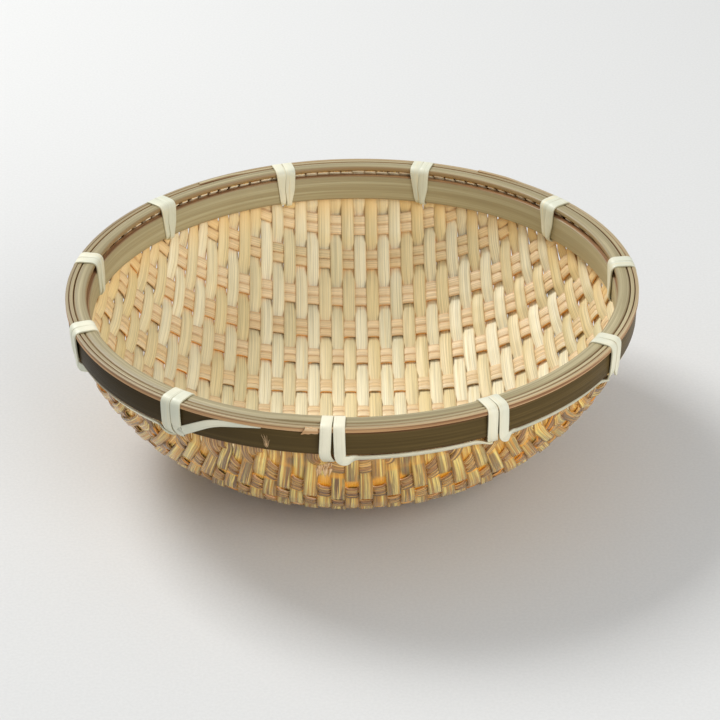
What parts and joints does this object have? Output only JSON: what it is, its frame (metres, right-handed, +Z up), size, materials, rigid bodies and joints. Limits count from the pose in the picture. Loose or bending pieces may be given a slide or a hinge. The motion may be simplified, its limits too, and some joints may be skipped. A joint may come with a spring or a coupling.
{
  "type": "woven bamboo basket",
  "caption": "Shallow round draining bowl of interlaced bamboo splints, its edge held between two hoops under cap strips that a wound cane strip binds.",
  "frame": {"origin": "centre of the flat underside, on the surface that the bowl stands on", "axes": "+Z up along the bowl's axis, -Y towards the viewer of the picture, +X to the viewer's right"},
  "size_m": [0.2111, 0.2111, 0.0671],
  "materials": {
    "bamboo_weave": "split bamboo, satin, pale inside and golden brown outside",
    "bamboo_bark_pale": "bamboo bark, olive, fine lengthwise fibres, orange cut edges",
    "bamboo_bark_dark": "bamboo bark, dark olive brown, satin",
    "cane_strip": "peeled cane strip, creamy white, satin"
  },
  "bodies": {
    "root": {"woven_bowl": "bamboo_weave", "inner_hoop": "bamboo_bark_pale", "outer_hoop": "bamboo_bark_dark", "cap_strip_wide": "bamboo_bark_pale", "cap_strip_middle": "bamboo_bark_pale", "cap_strip_outer": "bamboo_bark_pale", "lashing_01": "cane_strip", "lashing_02": "cane_strip", "lashing_03": "cane_strip", "lashing_04": "cane_strip", "lashing_05": "cane_strip", "lashing_06": "cane_strip", "lashing_07": "cane_strip", "lashing_08": "cane_strip", "lashing_09": "cane_strip", "lashing_10": "cane_strip", "lashing_11": "cane_strip"}
  },
  "joints": []
}
